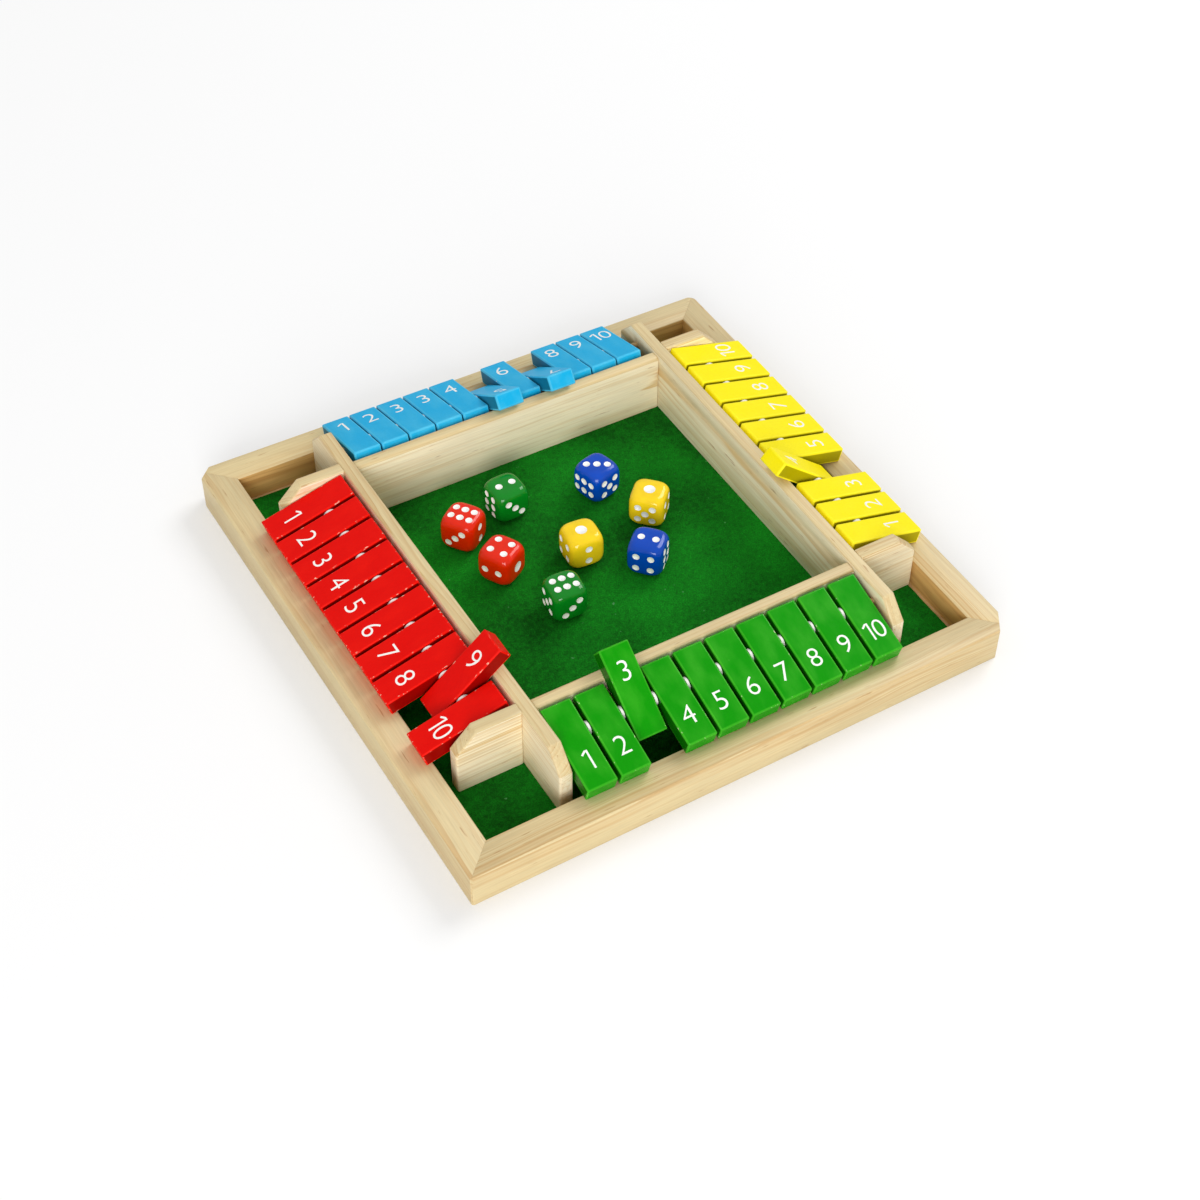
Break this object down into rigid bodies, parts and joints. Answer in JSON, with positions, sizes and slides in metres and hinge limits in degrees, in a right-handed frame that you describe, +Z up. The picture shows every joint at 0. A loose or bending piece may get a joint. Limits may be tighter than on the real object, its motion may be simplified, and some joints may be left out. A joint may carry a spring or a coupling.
{
  "type": "shut the box game",
  "caption": "Square felt-lined wooden shut the box game with rows of hinged number tiles in green, red, yellow and blue, and rounded dice.",
  "frame": {"origin": "middle of the underside of the square tray", "axes": "+Z up, +X to the right of the player at the green row, +Y away from that player towards the blue row"},
  "size_m": [0.3, 0.3, 0.0536],
  "materials": {
    "pine": "satin clear lacquer",
    "panel_wood": "raw plywood",
    "green_felt": "short-pile felt",
    "green_lacquer": "gloss paint on wood",
    "red_paint": "satin paint on wood",
    "yellow_paint": "satin paint on wood",
    "blue_paint": "satin paint on wood",
    "rod_wood": "raw dowel",
    "white_nylon": "moulded",
    "red_resin": "polished",
    "green_resin": "polished",
    "yellow_resin": "polished",
    "blue_resin": "polished"
  },
  "bodies": {
    "tray": {"base_panel": "panel_wood", "felt": "green_felt", "rail_front": "pine", "rail_back": "pine", "rail_left": "pine", "rail_right": "pine", "long_dividers": "pine", "cross_dividers": "pine", "cheeks": "pine", "rods": "rod_wood", "washers": "white_nylon"},
    "tile_green_1": {"tile_green_1": "green_lacquer"},
    "tile_green_2": {"tile_green_2": "green_lacquer"},
    "tile_green_3": {"tile_green_3": "green_lacquer"},
    "tile_green_4": {"tile_green_4": "green_lacquer"},
    "tile_green_5": {"tile_green_5": "green_lacquer"},
    "tile_green_6": {"tile_green_6": "green_lacquer"},
    "tile_green_7": {"tile_green_7": "green_lacquer"},
    "tile_green_8": {"tile_green_8": "green_lacquer"},
    "tile_green_9": {"tile_green_9": "green_lacquer"},
    "tile_green_10": {"tile_green_10": "green_lacquer"},
    "tile_yellow_1": {"tile_yellow_1": "yellow_paint"},
    "tile_yellow_2": {"tile_yellow_2": "yellow_paint"},
    "tile_yellow_3": {"tile_yellow_3": "yellow_paint"},
    "tile_yellow_4": {"tile_yellow_4": "yellow_paint"},
    "tile_yellow_5": {"tile_yellow_5": "yellow_paint"},
    "tile_yellow_6": {"tile_yellow_6": "yellow_paint"},
    "tile_yellow_7": {"tile_yellow_7": "yellow_paint"},
    "tile_yellow_8": {"tile_yellow_8": "yellow_paint"},
    "tile_yellow_9": {"tile_yellow_9": "yellow_paint"},
    "tile_yellow_10": {"tile_yellow_10": "yellow_paint"},
    "tile_blue_10": {"tile_blue_10": "blue_paint"},
    "tile_blue_9": {"tile_blue_9": "blue_paint"},
    "tile_blue_8": {"tile_blue_8": "blue_paint"},
    "tile_blue_7": {"tile_blue_7": "blue_paint"},
    "tile_blue_6": {"tile_blue_6": "blue_paint"},
    "tile_blue_5": {"tile_blue_5": "blue_paint"},
    "tile_blue_4": {"tile_blue_4": "blue_paint"},
    "tile_blue_3b": {"tile_blue_3b": "blue_paint"},
    "tile_blue_3a": {"tile_blue_3a": "blue_paint"},
    "tile_blue_2": {"tile_blue_2": "blue_paint"},
    "tile_blue_1": {"tile_blue_1": "blue_paint"},
    "tile_red_1": {"tile_red_1": "red_paint"},
    "tile_red_2": {"tile_red_2": "red_paint"},
    "tile_red_3": {"tile_red_3": "red_paint"},
    "tile_red_4": {"tile_red_4": "red_paint"},
    "tile_red_5": {"tile_red_5": "red_paint"},
    "tile_red_6": {"tile_red_6": "red_paint"},
    "tile_red_7": {"tile_red_7": "red_paint"},
    "tile_red_8": {"tile_red_8": "red_paint"},
    "tile_red_9": {"tile_red_9": "red_paint"},
    "tile_red_10": {"tile_red_10": "red_paint"},
    "die_red_a": {"die_red_a": "red_resin"},
    "die_red_b": {"die_red_b": "red_resin"},
    "die_green_a": {"die_green_a": "green_resin"},
    "die_green_b": {"die_green_b": "green_resin"},
    "die_yellow_a": {"die_yellow_a": "yellow_resin"},
    "die_yellow_b": {"die_yellow_b": "yellow_resin"},
    "die_blue_a": {"die_blue_a": "blue_resin"},
    "die_blue_b": {"die_blue_b": "blue_resin"}
  },
  "joints": [
    {"name": "flip_green_1", "type": "hinge", "parent": "tray", "child": "tile_green_1", "pos_m": [-0.0777, -0.10959, 0.0314], "axis": [-1, 0, 0], "range_deg": [0, 159.73]},
    {"name": "flip_green_2", "type": "hinge", "parent": "tray", "child": "tile_green_2", "pos_m": [-0.06, -0.10959, 0.0314], "axis": [-1, 0, 0], "range_deg": [0, 159.73]},
    {"name": "flip_green_3", "type": "hinge", "parent": "tray", "child": "tile_green_3", "pos_m": [-0.0423, -0.10959, 0.0314], "axis": [-1, 0, 0], "range_deg": [-159.73, 0]},
    {"name": "flip_green_4", "type": "hinge", "parent": "tray", "child": "tile_green_4", "pos_m": [-0.0246, -0.10959, 0.0314], "axis": [-1, 0, 0], "range_deg": [0, 159.73]},
    {"name": "flip_green_5", "type": "hinge", "parent": "tray", "child": "tile_green_5", "pos_m": [-0.0069, -0.10959, 0.0314], "axis": [-1, 0, 0], "range_deg": [0, 159.73]},
    {"name": "flip_green_6", "type": "hinge", "parent": "tray", "child": "tile_green_6", "pos_m": [0.0108, -0.10959, 0.0314], "axis": [-1, 0, 0], "range_deg": [0, 159.73]},
    {"name": "flip_green_7", "type": "hinge", "parent": "tray", "child": "tile_green_7", "pos_m": [0.0285, -0.10959, 0.0314], "axis": [-1, 0, 0], "range_deg": [0, 159.73]},
    {"name": "flip_green_8", "type": "hinge", "parent": "tray", "child": "tile_green_8", "pos_m": [0.0462, -0.10959, 0.0314], "axis": [-1, 0, 0], "range_deg": [0, 159.73]},
    {"name": "flip_green_9", "type": "hinge", "parent": "tray", "child": "tile_green_9", "pos_m": [0.0639, -0.10959, 0.0314], "axis": [-1, 0, 0], "range_deg": [0, 159.73]},
    {"name": "flip_green_10", "type": "hinge", "parent": "tray", "child": "tile_green_10", "pos_m": [0.0816, -0.10959, 0.0314], "axis": [-1, 0, 0], "range_deg": [0, 159.73]},
    {"name": "flip_yellow_1", "type": "hinge", "parent": "tray", "child": "tile_yellow_1", "pos_m": [0.11539, -0.07086, 0.0314], "axis": [0, -1, 0], "range_deg": [0, 155.13]},
    {"name": "flip_yellow_2", "type": "hinge", "parent": "tray", "child": "tile_yellow_2", "pos_m": [0.11539, -0.05328, 0.0314], "axis": [0, -1, 0], "range_deg": [0, 155.13]},
    {"name": "flip_yellow_3", "type": "hinge", "parent": "tray", "child": "tile_yellow_3", "pos_m": [0.11539, -0.0357, 0.0314], "axis": [0, -1, 0], "range_deg": [0, 155.13]},
    {"name": "flip_yellow_4", "type": "hinge", "parent": "tray", "child": "tile_yellow_4", "pos_m": [0.11539, -0.01812, 0.0314], "axis": [0, -1, 0], "range_deg": [-155.13, 0]},
    {"name": "flip_yellow_5", "type": "hinge", "parent": "tray", "child": "tile_yellow_5", "pos_m": [0.11539, -0.00054, 0.0314], "axis": [0, -1, 0], "range_deg": [0, 155.13]},
    {"name": "flip_yellow_6", "type": "hinge", "parent": "tray", "child": "tile_yellow_6", "pos_m": [0.11539, 0.01704, 0.0314], "axis": [0, -1, 0], "range_deg": [0, 155.13]},
    {"name": "flip_yellow_7", "type": "hinge", "parent": "tray", "child": "tile_yellow_7", "pos_m": [0.11539, 0.03462, 0.0314], "axis": [0, -1, 0], "range_deg": [0, 155.13]},
    {"name": "flip_yellow_8", "type": "hinge", "parent": "tray", "child": "tile_yellow_8", "pos_m": [0.11539, 0.0522, 0.0314], "axis": [0, -1, 0], "range_deg": [0, 155.13]},
    {"name": "flip_yellow_9", "type": "hinge", "parent": "tray", "child": "tile_yellow_9", "pos_m": [0.11539, 0.06978, 0.0314], "axis": [0, -1, 0], "range_deg": [0, 155.13]},
    {"name": "flip_yellow_10", "type": "hinge", "parent": "tray", "child": "tile_yellow_10", "pos_m": [0.11539, 0.08736, 0.0314], "axis": [0, -1, 0], "range_deg": [0, 155.13]},
    {"name": "flip_blue_10", "type": "hinge", "parent": "tray", "child": "tile_blue_10", "pos_m": [0.07875, 0.11518, 0.0314], "axis": [1, 0, 0], "range_deg": [0, 161.42]},
    {"name": "flip_blue_9", "type": "hinge", "parent": "tray", "child": "tile_blue_9", "pos_m": [0.06331, 0.11518, 0.0314], "axis": [1, 0, 0], "range_deg": [0, 161.42]},
    {"name": "flip_blue_8", "type": "hinge", "parent": "tray", "child": "tile_blue_8", "pos_m": [0.04787, 0.11518, 0.0314], "axis": [1, 0, 0], "range_deg": [0, 161.42]},
    {"name": "flip_blue_7", "type": "hinge", "parent": "tray", "child": "tile_blue_7", "pos_m": [0.03243, 0.11518, 0.0314], "axis": [1, 0, 0], "range_deg": [-161.42, 0]},
    {"name": "flip_blue_6", "type": "hinge", "parent": "tray", "child": "tile_blue_6", "pos_m": [0.01699, 0.11518, 0.0314], "axis": [1, 0, 0], "range_deg": [0, 161.42]},
    {"name": "flip_blue_5", "type": "hinge", "parent": "tray", "child": "tile_blue_5", "pos_m": [0.00155, 0.11518, 0.0314], "axis": [1, 0, 0], "range_deg": [-161.42, 0]},
    {"name": "flip_blue_4", "type": "hinge", "parent": "tray", "child": "tile_blue_4", "pos_m": [-0.01389, 0.11518, 0.0314], "axis": [1, 0, 0], "range_deg": [0, 161.42]},
    {"name": "flip_blue_3b", "type": "hinge", "parent": "tray", "child": "tile_blue_3b", "pos_m": [-0.02933, 0.11518, 0.0314], "axis": [1, 0, 0], "range_deg": [0, 161.42]},
    {"name": "flip_blue_3a", "type": "hinge", "parent": "tray", "child": "tile_blue_3a", "pos_m": [-0.04477, 0.11518, 0.0314], "axis": [1, 0, 0], "range_deg": [0, 161.42]},
    {"name": "flip_blue_2", "type": "hinge", "parent": "tray", "child": "tile_blue_2", "pos_m": [-0.06021, 0.11518, 0.0314], "axis": [1, 0, 0], "range_deg": [0, 161.42]},
    {"name": "flip_blue_1", "type": "hinge", "parent": "tray", "child": "tile_blue_1", "pos_m": [-0.07565, 0.11518, 0.0314], "axis": [1, 0, 0], "range_deg": [0, 161.42]},
    {"name": "flip_red_1", "type": "hinge", "parent": "tray", "child": "tile_red_1", "pos_m": [-0.10938, 0.0835, 0.0314], "axis": [0, 1, 0], "range_deg": [0, 155.13]},
    {"name": "flip_red_2", "type": "hinge", "parent": "tray", "child": "tile_red_2", "pos_m": [-0.10938, 0.0658, 0.0314], "axis": [0, 1, 0], "range_deg": [0, 155.13]},
    {"name": "flip_red_3", "type": "hinge", "parent": "tray", "child": "tile_red_3", "pos_m": [-0.10938, 0.0481, 0.0314], "axis": [0, 1, 0], "range_deg": [0, 155.13]},
    {"name": "flip_red_4", "type": "hinge", "parent": "tray", "child": "tile_red_4", "pos_m": [-0.10938, 0.0304, 0.0314], "axis": [0, 1, 0], "range_deg": [0, 155.13]},
    {"name": "flip_red_5", "type": "hinge", "parent": "tray", "child": "tile_red_5", "pos_m": [-0.10938, 0.0127, 0.0314], "axis": [0, 1, 0], "range_deg": [0, 155.13]},
    {"name": "flip_red_6", "type": "hinge", "parent": "tray", "child": "tile_red_6", "pos_m": [-0.10938, -0.005, 0.0314], "axis": [0, 1, 0], "range_deg": [0, 155.13]},
    {"name": "flip_red_7", "type": "hinge", "parent": "tray", "child": "tile_red_7", "pos_m": [-0.10938, -0.0227, 0.0314], "axis": [0, 1, 0], "range_deg": [0, 155.13]},
    {"name": "flip_red_8", "type": "hinge", "parent": "tray", "child": "tile_red_8", "pos_m": [-0.10938, -0.0404, 0.0314], "axis": [0, 1, 0], "range_deg": [0, 155.13]},
    {"name": "flip_red_9", "type": "hinge", "parent": "tray", "child": "tile_red_9", "pos_m": [-0.10938, -0.0581, 0.0314], "axis": [0, 1, 0], "range_deg": [-155.13, 0]},
    {"name": "flip_red_10", "type": "hinge", "parent": "tray", "child": "tile_red_10", "pos_m": [-0.10938, -0.0758, 0.0314], "axis": [0, 1, 0], "range_deg": [0, 155.13]},
    {"name": "lift_red_a", "type": "slide", "parent": "tray", "child": "die_red_a", "axis": [0, 0, 1], "range_m": [0, 0.06]},
    {"name": "lift_red_b", "type": "slide", "parent": "tray", "child": "die_red_b", "axis": [0, 0, 1], "range_m": [0, 0.06]},
    {"name": "lift_green_a", "type": "slide", "parent": "tray", "child": "die_green_a", "axis": [0, 0, 1], "range_m": [0, 0.06]},
    {"name": "lift_green_b", "type": "slide", "parent": "tray", "child": "die_green_b", "axis": [0, 0, 1], "range_m": [0, 0.06]},
    {"name": "lift_yellow_a", "type": "slide", "parent": "tray", "child": "die_yellow_a", "axis": [0, 0, 1], "range_m": [0, 0.06]},
    {"name": "lift_yellow_b", "type": "slide", "parent": "tray", "child": "die_yellow_b", "axis": [0, 0, 1], "range_m": [0, 0.06]},
    {"name": "lift_blue_a", "type": "slide", "parent": "tray", "child": "die_blue_a", "axis": [0, 0, 1], "range_m": [0, 0.06]},
    {"name": "lift_blue_b", "type": "slide", "parent": "tray", "child": "die_blue_b", "axis": [0, 0, 1], "range_m": [0, 0.06]}
  ]
}
